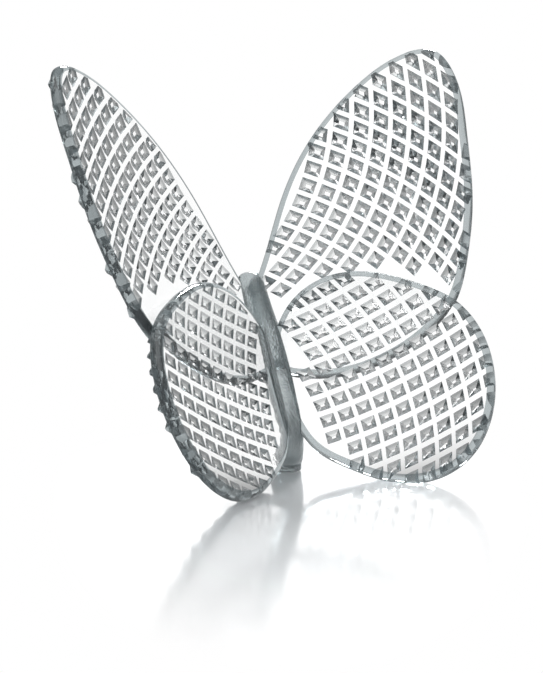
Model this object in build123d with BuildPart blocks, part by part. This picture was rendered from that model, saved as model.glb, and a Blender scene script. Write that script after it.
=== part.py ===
from build123d import *
import os
from math import cos, radians, sin

# Clear glass butterfly ornament, standing on its tail foot and its two hindwings.
# The mirror plane is X = 0, the floor is Z = 0 and the origin is under the tail foot.
# The wings open towards -Y and lean back towards +Y.

os.makedirs("parts", exist_ok=True)

# Stance, in degrees: each wing's angle from the mirror plane, and the crease's lean from upright
wing_half_angle = 57
crease_lean = 33

# Forewing plate
forewing_span = 42.8
forewing_reach = 63.7
forewing_thickness = 1.6

# Hindwing plate, which lies in front of the forewing and laps over its lower part
hindwing_span = 36.6
hindwing_reach = 28.7
hindwing_drop = 9.8
hindwing_thickness = 1.9
hindwing_face_distance = 4.83

# Rounding of the plates' rims, on the smooth inner face and on the cut outer face
inner_rim_round = 1.1
outer_rim_round = 0.3

# Diamond points cut in the outer faces
point_pitch = 3.0
point_height = 0.9
point_slope = 42.5
rim_margin = 0.55
forewing_clear_band = 1.8
hindwing_clear_band = 4.9
hindwing_band_lean = 8.7
lap_margin = 2.0
lap_gap = 0.1

# Body, from the tail foot up to the middle of the domed head
body_rise = 28.8
body_setback = 16.2
body_half_width = 2.5
body_half_depth = 3.1
head_radius = 2.0
foot_round = 0.5

# Wing roots, held in ground slots of the body
forewing_root = 1.6
hindwing_root = 4.0
slot_gap = 0.05

# Directions of the right wings: span is outwards, crease is up the body, inward is the smooth side's normal
half = radians(wing_half_angle)
lean = radians(crease_lean)
span_way = Vector(sin(half), -cos(half) * cos(lean), cos(half) * sin(lean))
inward = Vector(-cos(half), -sin(half) * cos(lean), sin(half) * sin(lean))

hindwing_outer = hindwing_face_distance - hindwing_thickness
forewing_face_distance = hindwing_outer - point_height - lap_gap
forewing_outer = forewing_face_distance - forewing_thickness


def wing_plane(distance):
    """Plane parallel to the right wings, its x along the span and its y up the crease."""
    return Plane(origin=inward * distance, x_dir=span_way, z_dir=inward)


# Forewing edge as one closed loop, as shares of its span and reach. The first two points lie in the body,
# beyond the root.
forewing_edge_shares = [
    (-0.010, 0.320),
    (0.012, 0.450),
    (0.101, 0.556),
    (0.234, 0.713),
    (0.407, 0.852),
    (0.626, 0.954),
    (0.813, 0.998),
    (0.942, 0.986),
    (0.999, 0.900),
    (0.986, 0.740),
    (0.935, 0.546),
    (0.864, 0.411),
    (0.771, 0.300),
    (0.631, 0.233),
    (0.467, 0.198),
    (0.304, 0.192),
    (0.164, 0.214),
]

# Hindwing edge the same way, as shares of its span and its reach, or its drop below the foot.
# The first point lies in the body.
hindwing_top_shares = [
    (0.065, 0.450),
    (0.145, 0.836),
    (0.238, 0.941),
    (0.388, 1.000),
    (0.574, 0.958),
    (0.760, 0.822),
    (0.918, 0.641),
    (0.994, 0.411),
    (0.995, 0.157),
]
hindwing_bottom_shares = [
    (0.929, 0.235),
    (0.792, 0.776),
    (0.617, 0.949),
    (0.451, 0.800),
    (0.273, 0.357),
    (0.160, -0.050),
]

# Body stations from the top of the level foot up: rise and setback as shares of the head's, then the half width,
# and the depths in front of the centreline and behind it, as shares of the body's
body_station_shares = [
    (0.045, -0.010, 0.90, 0.55, 2.35),
    (0.122, -0.040, 0.88, 0.85, 1.55),
    (0.243, 0.012, 0.90, 1.13, 1.12),
    (0.399, 0.160, 1.00, 1.03, 1.16),
    (0.556, 0.321, 1.02, 0.94, 1.32),
    (0.712, 0.506, 0.96, 0.90, 1.32),
    (0.868, 0.741, 0.90, 0.84, 1.16),
]

# Curved lattices of the diamond points, in shares of the pitch: one step along a row, one along a column,
# then what the rows, the twist and the columns bend by for each squared step. The fills are how far a point's
# foot reaches from its middle, along a row and along a column.
forewing_lattice_shares = [
    (0.626, -0.857),
    (-0.607, -0.826),
    (-0.028, -0.011),
    (-0.022, 0.012),
    (-0.031, 0.027),
]
forewing_start_shares = (0.712, 0.540)
forewing_fill_shares = (0.375, 0.37)
hindwing_lattice_shares = [
    (1.008, 0.046),
    (-0.019, 0.946),
    (-0.002, 0.016),
    (0.001, 0.005),
    (-0.035, 0.0),
]
hindwing_start_shares = (0.245, 0.079)
hindwing_fill_shares = (0.38, 0.345)
lattice_steps = 11

# Places taken along a rim to draw a curve parallel to it
curve_steps = 48


def lattice_point(start, shares, row, column):
    """Place of the lattice at a row and column step, whole for a point's middle."""
    along, up, row_bend, twist, column_bend = [Vector(*share) for share in shares]
    bend = row_bend * row**2 + twist * (row * column) + column_bend * column**2
    return start + (along * row + up * column + bend) * point_pitch


def diamond_cells(start, shares, fills, field):
    """Feet of the diamond points, on the lattice cells whose middles lie in the field."""
    wide, deep = fills
    for row in range(-lattice_steps, lattice_steps + 1):
        for column in range(-lattice_steps, lattice_steps + 1):
            if not field.is_inside(lattice_point(start, shares, row, column)):
                continue
            corners = []
            for side, end in ((-wide, -deep), (wide, -deep), (wide, deep), (-wide, deep)):
                corners.append(lattice_point(start, shares, row + side, column + end))
            Polygon(*corners, align=None)


def rim_face(rim, margin=0):
    """Face within a smooth curve that runs round outside the rim by the margin, or inside it by a minus one."""
    points = []
    for step in range(curve_steps):
        place = step / curve_steps
        outwards = Vector(0, 0, 1).cross(rim.edge() % place)
        points.append(rim.edge() @ place + outwards * margin)
    with BuildLine() as curve:
        Spline(*points, periodic=True)
    make_face(curve.edges())


def root_plane(root):
    """Plane of the wing's root, facing outwards."""
    return Plane(origin=span_way * root, z_dir=span_way)


forewing_edge = [(x * forewing_span, y * forewing_reach) for x, y in forewing_edge_shares]
hindwing_edge = [(x * hindwing_span, y * hindwing_reach) for x, y in hindwing_top_shares]
hindwing_edge += [(x * hindwing_span, -y * hindwing_drop) for x, y in hindwing_bottom_shares]

# Rims of the right wings, in their own plane
with BuildLine() as forewing_rim:
    Spline(*forewing_edge, periodic=True)

with BuildLine() as hindwing_rim:
    Spline(*hindwing_edge, periodic=True)

# Fields for the middles of the diamond points: within the rim, clear of the body, and above the hindwing's lap
with BuildSketch() as hindwing_field:
    rim_face(hindwing_rim)
    with Locations(Location((hindwing_root + hindwing_clear_band, 0, 0), (0, 0, hindwing_band_lean))):
        Rectangle(hindwing_span, forewing_reach, align=(Align.MIN, Align.CENTER), mode=Mode.INTERSECT)

with BuildSketch() as lap:
    rim_face(hindwing_rim, lap_margin)

with BuildSketch() as forewing_field:
    rim_face(forewing_rim)
    with Locations((forewing_root + forewing_clear_band, hindwing_reach / 2)):
        Rectangle(forewing_span, forewing_reach, align=(Align.MIN, Align.MIN), mode=Mode.INTERSECT)
    add(lap.sketch, mode=Mode.SUBTRACT)

# Diamond points of the right wings, cut off at the plain rim
forewing_start = Vector(forewing_start_shares[0] * forewing_span, forewing_start_shares[1] * forewing_reach)
with BuildPart() as forewing_points:
    with BuildSketch(wing_plane(forewing_outer)):
        diamond_cells(forewing_start, forewing_lattice_shares, forewing_fill_shares, forewing_field.faces()[0])
    extrude(amount=-point_height, taper=point_slope)
    with BuildSketch(wing_plane(forewing_outer)):
        rim_face(forewing_rim, -rim_margin)
    extrude(amount=-point_height, mode=Mode.INTERSECT)

hindwing_start = Vector(hindwing_start_shares[0] * hindwing_span, hindwing_start_shares[1] * hindwing_reach)
with BuildPart() as hindwing_points:
    with BuildSketch(wing_plane(hindwing_outer)):
        diamond_cells(hindwing_start, hindwing_lattice_shares, hindwing_fill_shares, hindwing_field.faces()[0])
    extrude(amount=-point_height, taper=point_slope)
    with BuildSketch(wing_plane(hindwing_outer)):
        rim_face(hindwing_rim, -rim_margin)
    extrude(amount=-point_height, mode=Mode.INTERSECT)

# Right forewing: a plate with a rounded rim, ground flat at its root
across = Axis((0, 0, 0), inward)
with BuildPart() as right_forewing:
    with BuildSketch(wing_plane(forewing_outer)):
        rim_face(forewing_rim)
    extrude(amount=forewing_thickness)
    fillet(right_forewing.faces().sort_by(across)[-1].edges(), inner_rim_round)
    fillet(right_forewing.faces().sort_by(across)[0].edges(), outer_rim_round)
    split(bisect_by=root_plane(forewing_root), keep=Keep.TOP)
    add(forewing_points.part)

# Right hindwing: the same make, with its lowest part ground level to stand on
with BuildPart() as right_hindwing:
    with BuildSketch(wing_plane(hindwing_outer)):
        rim_face(hindwing_rim)
    extrude(amount=hindwing_thickness)
    fillet(right_hindwing.faces().sort_by(across)[-1].edges(), inner_rim_round)
    fillet(right_hindwing.faces().sort_by(across)[0].edges(), outer_rim_round)
    split(bisect_by=root_plane(hindwing_root), keep=Keep.TOP)
    add(hindwing_points.part)
    split(bisect_by=Plane.XY, keep=Keep.TOP)

with BuildPart() as left_forewing:
    mirror(right_forewing.part, about=Plane.YZ)

with BuildPart() as left_hindwing:
    mirror(right_hindwing.part, about=Plane.YZ)

# Slots of the wing roots: their floors meet the roots, their sides clear the plates
with BuildPart() as forewing_slot:
    with BuildSketch(wing_plane(forewing_outer - slot_gap)):
        rim_face(forewing_rim, slot_gap)
    extrude(amount=forewing_thickness + slot_gap * 2)
    split(bisect_by=root_plane(forewing_root), keep=Keep.TOP)

with BuildPart() as hindwing_slot:
    with BuildSketch(wing_plane(hindwing_outer - slot_gap)):
        rim_face(hindwing_rim, slot_gap)
    extrude(amount=hindwing_thickness + slot_gap * 2)
    split(bisect_by=root_plane(hindwing_root), keep=Keep.TOP)

# Body: egg-shaped sections along a bowed centreline, on a level tail foot, with a domed head
centres = [Vector(0, y * body_setback, z * body_rise) for z, y, width, front, back in body_station_shares]
sizes = [
    (width * body_half_width, front * body_half_depth, back * body_half_depth)
    for z, y, width, front, back in body_station_shares
]
centres.append(Vector(0, body_setback, body_rise))
sizes.append((head_radius, head_radius, head_radius))
ways = [Vector(0, 0, 1)]
for below, above in zip(centres, centres[2:]):
    ways.append((above - below).normalized())
ways.append((centres[-1] - centres[-2]).normalized())

with BuildPart() as foot:
    foot_width, foot_front, foot_back = sizes[0]
    with BuildSketch(Plane(origin=centres[0], x_dir=(1, 0, 0), z_dir=ways[0])):
        with BuildLine():
            EllipticalCenterArc((0, 0), foot_width, foot_back, start_angle=0, arc_size=180)
            EllipticalCenterArc((0, 0), foot_width, foot_front, start_angle=180, arc_size=180)
        make_face()
    extrude(amount=-centres[0].Z)
    fillet(foot.faces().sort_by(Axis.Z)[0].edges(), foot_round)

with BuildPart() as body:
    for centre, way, (width, front, back) in zip(centres, ways, sizes):
        with BuildSketch(Plane(origin=centre, x_dir=(1, 0, 0), z_dir=way)):
            with BuildLine():
                EllipticalCenterArc((0, 0), width, back, start_angle=0, arc_size=180)
                EllipticalCenterArc((0, 0), width, front, start_angle=180, arc_size=180)
            make_face()
    loft()
    add(foot.part)
    with Locations(Plane(origin=centres[-1], x_dir=(1, 0, 0), z_dir=ways[-1]).location):
        Sphere(head_radius, arc_size1=0)
    for slot in (forewing_slot, hindwing_slot):
        add(slot.part, mode=Mode.SUBTRACT)
        mirror(slot.part, about=Plane.YZ, mode=Mode.SUBTRACT)

body.part.label = "body"
right_forewing.part.label = "right_forewing"
left_forewing.part.label = "left_forewing"
right_hindwing.part.label = "right_hindwing"
left_hindwing.part.label = "left_hindwing"

export_step(body.part, "parts/body.step")
export_step(right_forewing.part, "parts/right_forewing.step")
export_step(left_forewing.part, "parts/left_forewing.step")
export_step(right_hindwing.part, "parts/right_hindwing.step")
export_step(left_hindwing.part, "parts/left_hindwing.step")
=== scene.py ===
"""Looks of a clear cut-glass butterfly that stands on its tail foot and its two hindwings.

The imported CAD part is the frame. Its five glass pieces get polished copies with smooth rims and
crisp points, and the stage gives them a white floor, soft studio light and a camera.
"""

import math

import bmesh
import bpy
from bpy.props import FloatProperty, FloatVectorProperty, PointerProperty
from mathutils import Matrix, Vector


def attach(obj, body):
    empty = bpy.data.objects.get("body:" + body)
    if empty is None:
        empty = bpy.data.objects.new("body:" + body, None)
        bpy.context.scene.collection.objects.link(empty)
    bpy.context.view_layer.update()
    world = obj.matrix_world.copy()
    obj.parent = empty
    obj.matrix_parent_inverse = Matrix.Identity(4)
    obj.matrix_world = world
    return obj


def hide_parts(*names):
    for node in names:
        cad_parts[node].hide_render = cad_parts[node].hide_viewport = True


bl_info = {
    "name": "Cut Glass Butterfly",
    "version": (1, 0, 0),
    "blender": (4, 5, 0),
    "location": "3D View > Sidebar > Butterfly",
    "description": "Dresses a standing glass butterfly and lays out its stage",
    "category": "Object",
}

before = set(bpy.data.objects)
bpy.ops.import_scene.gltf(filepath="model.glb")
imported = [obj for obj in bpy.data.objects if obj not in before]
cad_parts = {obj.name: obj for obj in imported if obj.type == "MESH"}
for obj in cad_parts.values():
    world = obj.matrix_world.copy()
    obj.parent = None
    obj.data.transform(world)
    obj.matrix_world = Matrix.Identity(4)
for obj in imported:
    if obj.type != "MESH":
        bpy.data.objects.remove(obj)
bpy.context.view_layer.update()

# Merging and shading of the copies, in metres and as angles

MERGE_DISTANCE = 0.000001
SLIVER_WIDTH = 0.0000005
FLAT_ANGLE = math.radians(0.3)
CRISP_ANGLE = math.radians(24)

# A wing's faces, by the cosine between their normal and the way that its inner face looks

INNER_COSINE = 0.9999
OUTER_COSINE = -0.5

# Squares of cosines: where a slope turns to flat glass, and where a facet faces the way of the
# painted glint

FLAT_RANGE = (0.6, 0.97)
PAINTED_GLINT_RANGE = (0.08, 0.38)

# Depths below the tips, as shares of a point's height, where the painted shade on the points is
# least and fullest

LEAST_SHADE_DEPTH = 0.2
FULL_SHADE_DEPTH = 0.7

# Height over which the body's painted shade lightens from its foot, in metres

FOOT_SHADE_HEIGHT = 0.012

# Slow waves and fine ripples in the polished glass: their noise's scale per metre and its detail

BODY_WAVES = 400.0
WING_WAVES = 150.0
WAVE_DETAIL = 1.0
RIPPLES_PER_WAVE = 7.0
RIPPLE_DETAIL = 2.0

# Ripple noise over which the polish turns from its least share of roughness to all of it

ROUGH_RANGE = (0.45, 0.75)
LEAST_ROUGH = 0.3

# Floor: its sides, and how many times further off it has turned wholly plain

FLOOR_SIDES = 96
PLAIN_FADE = 2.4

# Backdrop seen through the glass: its edge on the floor, as a cosine and a distance in metres,
# its edge in the room and the soft box's edge overhead, as cosines

BACKDROP_COSINE = 0.88
BACKDROP_FADE = 0.03
BACKDROP_EDGE = (0.84, 0.92)
SOFT_BOX_EDGE = (0.7, 0.9)

# Lamps, in metres

LAMP_AIM = Vector((0.0, 0.0, 0.02))
KEY_PLACE = Vector((0.55, 0.83, 0.7))
KEY_SIZE = 0.3
FILL_PLACE = Vector((-0.3, -0.2, 1.3))
FILL_SIZE = 1.2

# Camera: its frame's width in millimetres, and the nearest that it sees in metres

FRAME_WIDTH = 36.0
NEAREST_SEEN = 0.01

WHITE = (1.0, 1.0, 1.0, 1.0)


# Shader graphs


class Wire:
    """One output of a shader node, usable in Python expressions."""

    def __init__(self, graph, socket):
        self.graph = graph
        self.socket = socket

    def _maths(self, operation, *values):
        return self.graph.add("ShaderNodeMath", {"operation": operation}, values)

    def __add__(self, other):
        return self._maths("ADD", self, other)

    def __radd__(self, other):
        return self._maths("ADD", other, self)

    def __sub__(self, other):
        return self._maths("SUBTRACT", self, other)

    def __rsub__(self, other):
        return self._maths("SUBTRACT", other, self)

    def __mul__(self, other):
        return self._maths("MULTIPLY", self, other)

    def __rmul__(self, other):
        return self._maths("MULTIPLY", other, self)

    def largest(self, other):
        """The larger of this value and another."""
        return self._maths("MAXIMUM", self, other)

    def ramp(self, start, end, low=0.0, high=1.0):
        """Runs smoothly from low at start to high at end."""
        return self.graph.add(
            "ShaderNodeMapRange",
            {"interpolation_type": "SMOOTHSTEP"},
            {"Value": self, "From Min": start, "From Max": end, "To Min": low, "To Max": high},
        )


class Graph:
    """A node tree that grows by one call for each node."""

    def __init__(self, owner):
        owner.use_nodes = True
        self.tree = owner.node_tree
        self.tree.nodes.clear()

    def node(self, kind, settings=None, values=None):
        """Adds a node, sets it up, then fills its inputs from values or wires, by name or order."""
        made = self.tree.nodes.new(kind)
        for name, value in (settings or {}).items():
            setattr(made, name, value)
        values = values or {}
        pairs = values.items() if isinstance(values, dict) else enumerate(values)
        for key, value in pairs:
            if isinstance(value, Wire):
                self.tree.links.new(value.socket, made.inputs[key])
            else:
                made.inputs[key].default_value = value
        return made

    def add(self, kind, settings=None, values=None, output=0):
        """Adds a node and returns the wire of one of its outputs, by name or order."""
        return Wire(self, self.node(kind, settings, values).outputs[output])

    def dot(self, first, second):
        """Adds the dot product of two vectors."""
        settings = {"operation": "DOT_PRODUCT"}
        return self.add("ShaderNodeVectorMath", settings, [first, second], "Value")

    def mix_colours(self, share, first, second):
        """Adds a mix of two colours, the second by its share."""
        # The node's colour mode has inputs 6 and 7 and output 2
        settings = {"data_type": "RGBA"}
        return self.add("ShaderNodeMix", settings, {0: share, 6: first, 7: second}, 2)

    def mix_shaders(self, share, first, second):
        """Adds a mix of two shaders, the second by its share."""
        return self.add("ShaderNodeMixShader", None, [share, first, second])

    def rays(self, *kinds):
        """Adds a Light Path node and returns a wire for each kind of ray that is named."""
        path = self.node("ShaderNodeLightPath")
        return [Wire(self, path.outputs["Is " + kind + " Ray"]) for kind in kinds]


# Values a user would change


class GlassFinish(bpy.types.PropertyGroup):
    """Tints with painted shade and painted glints, haze, polish and shadow of the glass, and the
    angles of its wings
    """

    tint: FloatVectorProperty(
        name="Tint",
        description="Colour that white light keeps at each flat face of the wings",
        subtype="COLOR",
        size=4,
        min=0.0,
        max=1.0,
        default=(0.985, 0.99, 0.99, 1.0),
    )
    # Painted shade: the dark grey at the foot of each point stands in for shade seen through its
    # facets
    slope_painted_shade: FloatVectorProperty(
        name="Slope tint",
        description="Colour that light keeps at the foot of each point",
        subtype="COLOR",
        size=4,
        min=0.0,
        max=1.0,
        default=(0.05, 0.065, 0.07, 1.0),
    )
    # Painted shade on the rims of the wings
    rim_painted_shade: FloatVectorProperty(
        name="Rim tint",
        description="Colour that light keeps at the rims of the wings",
        subtype="COLOR",
        size=4,
        min=0.0,
        max=1.0,
        default=(0.24, 0.28, 0.29, 1.0),
    )
    # Painted shade at its lightest, at the tips of the points
    tip_painted_shade: FloatVectorProperty(
        name="Tip tint",
        description="Colour that light keeps at the tip of each point",
        subtype="COLOR",
        size=4,
        min=0.0,
        max=1.0,
        default=(0.86, 0.88, 0.88, 1.0),
    )
    # Painted shade at the foot of the body
    foot_painted_shade: FloatVectorProperty(
        name="Foot tint",
        description="Colour that light keeps at the foot of the body",
        subtype="COLOR",
        size=4,
        min=0.0,
        max=1.0,
        default=(0.06, 0.08, 0.085, 1.0),
    )
    # The glass's own faint tint, darkened by painted shade
    body_tint_and_shade: FloatVectorProperty(
        name="Body tint",
        description="Colour that light keeps in the thick body",
        subtype="COLOR",
        size=4,
        min=0.0,
        max=1.0,
        default=(0.53, 0.58, 0.59, 1.0),
    )
    haze_tint: FloatVectorProperty(
        name="Haze tint",
        description="Grey of the haze in thick and sloping glass",
        subtype="COLOR",
        size=4,
        min=0.0,
        max=1.0,
        default=(0.25, 0.29, 0.305, 1.0),
    )
    body_haze: FloatProperty(
        name="Body haze",
        description="Share of haze in the body",
        subtype="FACTOR",
        default=0.16,
        min=0.0,
        max=1.0,
    )
    slope_haze: FloatProperty(
        name="Slope haze",
        description="Share of haze at the foot of each point",
        subtype="FACTOR",
        default=0.26,
        min=0.0,
        max=1.0,
    )
    rim_haze: FloatProperty(
        name="Rim haze",
        description="Share of haze in the rims",
        subtype="FACTOR",
        default=0.2,
        min=0.0,
        max=1.0,
    )
    tip_haze: FloatProperty(
        name="Tip haze",
        description="Share of haze at the tips",
        subtype="FACTOR",
        default=0.1,
        min=0.0,
        max=1.0,
    )
    point_height: FloatProperty(
        name="Point height",
        description="Height of the points",
        unit="LENGTH",
        default=0.0009,
        min=0.0001,
        max=0.01,
    )
    # Painted glint: turn of the way whose facing facets are painted lighter
    painted_glint_turn: FloatProperty(
        name="Lit turn",
        description="Turn of the lit facets' way from the crease",
        unit="ROTATION",
        default=math.radians(29),
    )
    # Painted glint: how much painted shade the facets that face that way lose
    painted_glint_share: FloatProperty(
        name="Lit share",
        description="How much clearer the lit facets are",
        subtype="FACTOR",
        default=0.5,
        min=0.0,
        max=1.0,
    )
    rim_width: FloatProperty(
        name="Rim width",
        description="Width of the inner face's border that belongs to the rim",
        unit="LENGTH",
        default=0.0001,
        min=0.0,
    )
    bend: FloatProperty(
        name="Refractive index",
        description="Index of lead crystal",
        default=1.54,
        min=1.3,
        max=1.8,
    )
    polish: FloatProperty(
        name="Roughness",
        description="Roughness of the polished faces",
        default=0.012,
        min=0.0,
        max=0.2,
    )
    waviness: FloatProperty(
        name="Waviness",
        description="Height of the slow waves that polishing leaves in the wings",
        unit="LENGTH",
        default=0.00003,
        min=0.0,
        max=0.0005,
    )
    body_waviness: FloatProperty(
        name="Body waviness",
        description="Height of the waves in the body",
        unit="LENGTH",
        default=0.0002,
        min=0.0,
        max=0.0005,
    )
    ripple: FloatProperty(
        name="Ripple",
        description="Height of the fine ripples, as a share of the waves'",
        subtype="FACTOR",
        default=0.5,
        min=0.0,
        max=1.0,
    )
    wing_half_angle: FloatProperty(
        name="Wing angle",
        description="Angle of a wing from the mirror plane",
        unit="ROTATION",
        default=math.radians(57),
    )
    crease_lean: FloatProperty(
        name="Crease lean",
        description="Backward lean of the crease between the wings",
        unit="ROTATION",
        default=math.radians(33),
    )
    body_shade: FloatProperty(
        name="Body shadow",
        description="Share of lamp light that a face of the body holds back",
        subtype="FACTOR",
        default=0.8,
        min=0.0,
        max=1.0,
    )
    wing_shade: FloatProperty(
        name="Wing shadow",
        description="Share of lamp light that a face of a wing holds back",
        subtype="FACTOR",
        default=0.22,
        min=0.0,
        max=1.0,
    )


class StageLook(bpy.types.PropertyGroup):
    """Floor, backdrop and light of the stage"""

    floor_radius: FloatProperty(
        name="Floor radius",
        description="Radius of the white floor",
        unit="LENGTH",
        default=3.0,
        min=0.5,
        max=20.0,
    )
    floor_white: FloatVectorProperty(
        name="Floor",
        description="Colour of the floor",
        subtype="COLOR",
        size=4,
        min=0.0,
        max=1.0,
        default=(0.87, 0.89, 0.91, 1.0),
    )
    floor_shine: FloatProperty(
        name="Floor shine",
        description="Share of the floor's light that it reflects",
        subtype="FACTOR",
        default=0.7,
        min=0.0,
        max=1.0,
    )
    floor_roughness: FloatProperty(
        name="Floor roughness",
        description="Roughness of the floor's reflection",
        default=0.115,
        min=0.0,
        max=1.0,
    )
    plain_from: FloatProperty(
        name="Plain from",
        description="Distance to the viewer's side where the floor starts to turn plain white",
        unit="LENGTH",
        default=0.05,
        min=0.01,
        max=5.0,
    )
    narrow: FloatProperty(
        name="Narrow",
        description="How many times sooner it turns plain on the other sides",
        default=3.2,
        min=1.0,
        max=20.0,
    )
    sky: FloatProperty(
        name="Sky",
        description="Soft light that falls on the floor from all round",
        default=0.4,
        min=0.0,
    )
    backdrop: FloatProperty(
        name="Backdrop",
        description="Brightness of the white behind the butterfly, seen through it",
        default=1.12,
        min=0.0,
    )
    room_dark: FloatProperty(
        name="Room",
        description="Grey of the room round the backdrop",
        default=0.42,
        min=0.0,
        max=1.0,
    )
    soft_box: FloatProperty(
        name="Soft box",
        description="Brightness of the panel overhead, seen in the glass",
        default=0.8,
        min=0.0,
    )
    key_power: FloatProperty(
        name="Key lamp",
        description="Power of the main lamp",
        unit="POWER",
        default=26.0,
        min=0.0,
    )
    fill_power: FloatProperty(
        name="Fill lamp",
        description="Power of the overhead lamp",
        unit="POWER",
        default=4.0,
        min=0.0,
    )


class PhotoView(bpy.types.PropertyGroup):
    """The photograph's viewpoint, and the foot's place in its frame"""

    azimuth: FloatProperty(
        name="Azimuth",
        description="Turn of the view from the front",
        unit="ROTATION",
        default=math.radians(24.5045),
    )
    elevation: FloatProperty(
        name="Elevation",
        description="Angle that the view looks down by",
        unit="ROTATION",
        default=math.radians(10.3802),
    )
    distance: FloatProperty(
        name="Distance",
        description="Distance from the foot",
        unit="LENGTH",
        default=0.56312,
    )
    across: FloatProperty(
        name="Across",
        description="Foot's place right of the middle",
        unit="LENGTH",
        default=0.002616,
    )
    above: FloatProperty(
        name="Above",
        description="Foot's place above the middle",
        unit="LENGTH",
        default=-0.021621,
    )
    lens: FloatProperty(
        name="Lens",
        description="Focal length on a 36 mm frame",
        unit="CAMERA",
        default=187.22,
    )


# Materials


def polished_glass(graph, finish, place, tint, haziness, waves_per_metre, wave_height, shade):
    """Ends a glass material: waves, a breath of roughness, haze and a shadow that lets light by.

    The grey haze stands for the light that thick or sloping glass scatters.
    """
    waves = graph.add(
        "ShaderNodeTexNoise",
        None,
        {"Vector": place, "Scale": waves_per_metre, "Detail": WAVE_DETAIL},
    )
    ripples = graph.add(
        "ShaderNodeTexNoise",
        None,
        {"Vector": place, "Scale": waves_per_metre * RIPPLES_PER_WAVE, "Detail": RIPPLE_DETAIL},
    )
    swell = waves + ripples * finish.ripple
    bump_values = {"Strength": 1.0, "Distance": wave_height, "Height": swell}
    bump = graph.add("ShaderNodeBump", None, bump_values)
    roughness = ripples.ramp(*ROUGH_RANGE, finish.polish * LEAST_ROUGH, finish.polish)
    glass = graph.add(
        "ShaderNodeBsdfPrincipled",
        None,
        {
            "Base Color": tint,
            "Roughness": roughness,
            "IOR": finish.bend,
            "Transmission Weight": 1.0,
            "Normal": bump,
        },
    )
    haze = graph.add("ShaderNodeBsdfDiffuse", None, {"Color": finish.haze_tint})
    hazy = graph.mix_shaders(haziness, glass, haze)
    passed = 1.0 - shade
    clear = graph.add("ShaderNodeBsdfTransparent", None, {"Color": (passed, passed, passed, 1.0)})
    (shadow_ray,) = graph.rays("Shadow")
    surface = graph.mix_shaders(shadow_ray, hazy, clear)
    graph.node("ShaderNodeOutputMaterial", None, {"Surface": surface})


def body_glass(name, finish):
    """Clear glass of the thick body, with painted shade in its tint, darkest at its foot."""
    material = bpy.data.materials.new(name)
    graph = Graph(material)
    place = graph.add("ShaderNodeTexCoord", output="Object")
    height = graph.add("ShaderNodeSeparateXYZ", None, [place], "Z")
    # Painted shade: the body's tint darkens towards its foot
    tint = graph.mix_colours(height.ramp(0.0, FOOT_SHADE_HEIGHT), finish.foot_painted_shade, finish.body_tint_and_shade)
    polished_glass(
        graph,
        finish,
        place,
        tint,
        finish.body_haze,
        BODY_WAVES,
        finish.body_waviness,
        finish.body_shade,
    )
    return material


def wing_glass(name, finish, inward, painted_glint_way, tips):
    """Clear glass of a wing, with painted shade and haze on its rims and points.

    Inward is the way that its smooth face looks, and tips is the level of its points' tips along
    that way. The painted shade on the points thins towards their tips, and a painted glint lightens
    the two facets that face the glint way.
    """
    material = bpy.data.materials.new(name)
    graph = Graph(material)
    place = graph.add("ShaderNodeTexCoord", output="Object")
    normal = graph.add("ShaderNodeNewGeometry", output="Normal")
    rim = graph.add("ShaderNodeAttribute", {"attribute_name": "rim"}, output="Fac")
    along = graph.dot(normal, inward)
    flat = (along * along).ramp(*FLAT_RANGE) * (1.0 - rim)
    level = graph.dot(place, inward)
    height = finish.point_height
    # Painted shade on the points, growing with depth below their tips
    painted_point_shade = level.ramp(tips + height * LEAST_SHADE_DEPTH, tips + height * FULL_SHADE_DEPTH)
    # Painted glint: facets that face the glint way get less painted shade
    glint = graph.dot(normal, painted_glint_way)
    painted_point_shade = painted_point_shade * (glint * glint).ramp(*PAINTED_GLINT_RANGE, 1.0, 1.0 - finish.painted_glint_share)
    tint = graph.mix_colours(painted_point_shade, finish.tip_painted_shade, finish.slope_painted_shade)
    # Painted shade on the rims
    tint = graph.mix_colours(rim, tint, finish.rim_painted_shade)
    tint = graph.mix_colours(flat, tint, finish.tint)
    point_haze = painted_point_shade.ramp(0.0, 1.0, finish.tip_haze, finish.slope_haze)
    haziness = (1.0 - flat) * (1.0 - rim) * point_haze + rim * finish.rim_haze
    polished_glass(
        graph,
        finish,
        place,
        tint,
        haziness,
        WING_WAVES,
        finish.waviness,
        finish.wing_shade,
    )
    return material


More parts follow.
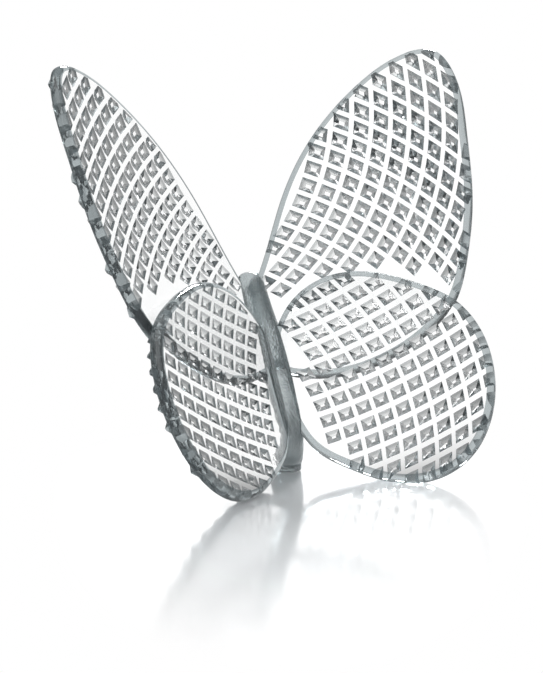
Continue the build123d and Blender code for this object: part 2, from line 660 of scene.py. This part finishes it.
def white_floor(look, forward):
    """Pale glossy floor: it takes shadows and a soft reflection near the butterfly only.

    Further off it is plain white. Through the glass it is white behind the butterfly, as the view
    sees it, and the room's grey to the sides.
    """
    material = bpy.data.materials.new("white_floor")
    graph = Graph(material)
    place = graph.add("ShaderNodeTexCoord", output="Object")
    reach = graph.add("ShaderNodeVectorMath", {"operation": "LENGTH"}, [place], "Value")
    ahead = graph.dot(place, forward)
    matt = graph.add("ShaderNodeBsdfDiffuse", None, {"Color": look.floor_white})
    shine_values = {"Color": WHITE, "Roughness": look.floor_roughness}
    shine = graph.add("ShaderNodeBsdfGlossy", None, shine_values)
    near = graph.mix_shaders(look.floor_shine, matt, shine)
    glow = graph.add("ShaderNodeEmission", None, {"Color": WHITE, "Strength": 1.0})
    towards = (0.0 - ahead).largest(0.0)
    towards_gain = (look.narrow**2 - 1.0) / (1.0 - forward[2] ** 2)
    spread = reach * reach * look.narrow**2 - towards * towards * towards_gain
    plain = spread.ramp(look.plain_from**2, (look.plain_from * PLAIN_FADE) ** 2)
    seen = graph.mix_shaders(plain, near, glow)
    beside = reach * BACKDROP_COSINE - ahead
    strength = beside.ramp(0.0, BACKDROP_FADE, look.backdrop, look.room_dark)
    behind = graph.add("ShaderNodeEmission", None, {"Color": WHITE, "Strength": strength})
    camera_ray, glossy_ray, clear_ray = graph.rays("Camera", "Glossy", "Transmission")
    unseen = graph.mix_shaders(glossy_ray.largest(clear_ray), matt, behind)
    surface = graph.mix_shaders(camera_ray, unseen, seen)
    graph.node("ShaderNodeOutputMaterial", None, {"Surface": surface})
    return material


def studio_world(look, forward):
    """White for the eye, soft light for the floor, and a room with a backdrop for the glass."""
    world = bpy.data.worlds.new("studio")
    graph = Graph(world)
    way = graph.add("ShaderNodeTexCoord", output="Generated")
    backdrop = graph.dot(way, forward).ramp(*BACKDROP_EDGE, look.room_dark, look.backdrop)
    soft_box = graph.dot(way, (0.0, 0.0, 1.0)).ramp(*SOFT_BOX_EDGE) * look.soft_box
    camera_ray, diffuse_ray = graph.rays("Camera", "Diffuse")
    other_ray = 1.0 - camera_ray.largest(diffuse_ray)
    strength = camera_ray + diffuse_ray * look.sky + (backdrop + soft_box) * other_ray
    glow = graph.add("ShaderNodeBackground", None, {"Color": WHITE, "Strength": strength})
    graph.node("ShaderNodeOutputWorld", None, {"Surface": glow})
    return world


# Pieces


def is_crisp(edge):
    """Whether an edge is ground, or a ridge or groove of a point, and no part of a rounding."""
    return len(edge.link_faces) == 2 and edge.calc_face_angle(0.0) > CRISP_ANGLE


def mark_rim(made, inward, rim_width):
    """Marks a wing's rounded edge, and the border of the face that looks inward, as rim."""
    rim = made.faces.layers.float.new("rim")
    inner = [face for face in made.faces if face.normal.dot(inward) > INNER_COSINE]
    border = bmesh.ops.inset_region(
        made,
        faces=inner,
        thickness=rim_width,
        use_even_offset=True,
        use_boundary=True,
    )
    rounding = [
        face for face in made.faces if OUTER_COSINE < face.normal.dot(inward) < INNER_COSINE
    ]
    for face in border["faces"] + rounding:
        face[rim] = 1.0


def polished_copy(node, name, inward=None, rim_width=0.0):
    """Merged copy of a CAD node, smooth over its roundings and crisp at its points.

    A wing also gives the way that its smooth face looks, and gets its rim marked.
    """
    made = bmesh.new()
    made.from_mesh(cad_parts[node].data)
    bmesh.ops.remove_doubles(made, verts=made.verts, dist=MERGE_DISTANCE)
    bmesh.ops.dissolve_degenerate(made, dist=SLIVER_WIDTH, edges=made.edges)
    bmesh.ops.dissolve_limit(made, angle_limit=FLAT_ANGLE, verts=made.verts, edges=made.edges)
    if inward is not None:
        mark_rim(made, inward, rim_width)
    bmesh.ops.triangulate(made, faces=[face for face in made.faces if len(face.verts) > 4])
    made.normal_update()
    for face in made.faces:
        face.smooth = True
    for edge in made.edges:
        edge.smooth = not is_crisp(edge)
    mesh = bpy.data.meshes.new(name)
    made.to_mesh(mesh)
    made.free()
    piece = bpy.data.objects.new(name, mesh)
    bpy.context.scene.collection.objects.link(piece)
    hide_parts(node)
    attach(piece, "root")
    return piece


class BUTTERFLY_OT_body(bpy.types.Operator):
    """Make the smooth glass body with its domed head and its tail foot"""

    bl_idname = "butterfly.body"
    bl_label = "Body"

    def execute(self, context):
        body = polished_copy("body", "glass_body")
        body.data.materials.append(body_glass("clear_body_glass", context.scene.butterfly_glass))
        return {"FINISHED"}


class BUTTERFLY_OT_wings(bpy.types.Operator):
    """Make the four glass wings with diamond points on their outer faces"""

    bl_idname = "butterfly.wings"
    bl_label = "Wings"

    def execute(self, context):
        finish = context.scene.butterfly_glass
        half, lean, turn = finish.wing_half_angle, finish.crease_lean, finish.painted_glint_turn
        crease = Vector((0.0, math.sin(lean), math.cos(lean)))
        for side, mirror in (("left", -1.0), ("right", 1.0)):
            inward = Vector(
                (
                    -mirror * math.cos(half),
                    -math.sin(half) * math.cos(lean),
                    math.sin(half) * math.sin(lean),
                )
            )
            span = crease.cross(inward) * mirror
            # Way whose facing facets get a painted glint
            painted_glint_way = crease * math.cos(turn) - span * math.sin(turn)
            for node in (side + "_forewing", side + "_hindwing"):
                wing = polished_copy(node, "glass_" + node, inward, finish.rim_width)
                tips = min(vertex.co.dot(inward) for vertex in wing.data.vertices)
                material = wing_glass("clear_" + node + "_glass", finish, inward, painted_glint_way, tips)
                wing.data.materials.append(material)
        return {"FINISHED"}


# Stage


def view_axes(view):
    """The photograph's right, up and forward directions."""
    turn, dip = view.azimuth, view.elevation
    right = Vector((math.cos(turn), -math.sin(turn), 0.0))
    up = Vector((math.sin(dip) * math.sin(turn), math.sin(dip) * math.cos(turn), math.cos(dip)))
    return right, up, up.cross(right)


def add_lamp(name, place, size, power):
    """Square area lamp that faces the butterfly."""
    lamp = bpy.data.lights.new(name, "AREA")
    lamp.size = size
    lamp.energy = power
    holder = bpy.data.objects.new(name, lamp)
    turn = (LAMP_AIM - place).to_track_quat("-Z", "Y").to_matrix().to_4x4()
    holder.matrix_world = Matrix.Translation(place) @ turn
    bpy.context.scene.collection.objects.link(holder)


class BUTTERFLY_OT_stage(bpy.types.Operator):
    """Lay the white floor, light the room and set the camera"""

    bl_idname = "butterfly.stage"
    bl_label = "Stage"

    def execute(self, context):
        scene = context.scene
        look = scene.butterfly_stage
        forward = view_axes(scene.butterfly_view)[2]
        self.lay_floor(scene, look, forward)
        add_lamp("key_lamp", KEY_PLACE, KEY_SIZE, look.key_power)
        add_lamp("fill_lamp", FILL_PLACE, FILL_SIZE, look.fill_power)
        scene.world = studio_world(look, forward)
        self.set_camera(scene, scene.butterfly_view)
        scene.view_settings.view_transform = "Standard"
        return {"FINISHED"}

    def lay_floor(self, scene, look, forward):
        """Round white floor, level with the foot."""
        made = bmesh.new()
        bmesh.ops.create_circle(
            made,
            cap_ends=True,
            segments=FLOOR_SIDES,
            radius=look.floor_radius,
        )
        mesh = bpy.data.meshes.new("floor")
        made.to_mesh(mesh)
        made.free()
        mesh.materials.append(white_floor(look, forward))
        floor = bpy.data.objects.new("floor", mesh)
        scene.collection.objects.link(floor)

    def set_camera(self, scene, view):
        """The photograph's view: its angles, its distance, and the foot's place in the frame."""
        right, up, forward = view_axes(view)
        place = -(right * view.across + up * view.above + forward * view.distance)
        camera = bpy.data.cameras.new("camera")
        camera.lens = view.lens
        camera.sensor_width = FRAME_WIDTH
        camera.clip_start = NEAREST_SEEN
        holder = bpy.data.objects.new("camera", camera)
        turn = Matrix((right, up, -forward)).transposed().to_4x4()
        holder.matrix_world = Matrix.Translation(place) @ turn
        scene.collection.objects.link(holder)
        scene.camera = holder


class BUTTERFLY_PT_panel(bpy.types.Panel):
    """Butterfly pieces and stage"""

    bl_idname = "BUTTERFLY_PT_panel"
    bl_label = "Cut Glass Butterfly"
    bl_space_type = "VIEW_3D"
    bl_region_type = "UI"
    bl_category = "Butterfly"

    def draw(self, context):
        layout = self.layout
        scene = context.scene
        for group in (scene.butterfly_glass, scene.butterfly_stage, scene.butterfly_view):
            box = layout.box()
            for name in group.__annotations__:
                box.prop(group, name)
        for operator in (BUTTERFLY_OT_body, BUTTERFLY_OT_wings, BUTTERFLY_OT_stage):
            layout.operator(operator.bl_idname)


CLASSES = (
    GlassFinish,
    StageLook,
    PhotoView,
    BUTTERFLY_OT_body,
    BUTTERFLY_OT_wings,
    BUTTERFLY_OT_stage,
    BUTTERFLY_PT_panel,
)


def register():
    """Registers the classes and puts their values on the scene."""
    for kind in CLASSES:
        bpy.utils.register_class(kind)
    bpy.types.Scene.butterfly_glass = PointerProperty(type=GlassFinish)
    bpy.types.Scene.butterfly_stage = PointerProperty(type=StageLook)
    bpy.types.Scene.butterfly_view = PointerProperty(type=PhotoView)


def unregister():
    """Takes the values and the classes away again."""
    del bpy.types.Scene.butterfly_view
    del bpy.types.Scene.butterfly_stage
    del bpy.types.Scene.butterfly_glass
    for kind in reversed(CLASSES):
        bpy.utils.unregister_class(kind)


def main():
    """Builds the pieces and the stage."""
    register()
    bpy.ops.butterfly.body()
    bpy.ops.butterfly.wings()
    bpy.ops.butterfly.stage()


if __name__ == "__main__":
    main()
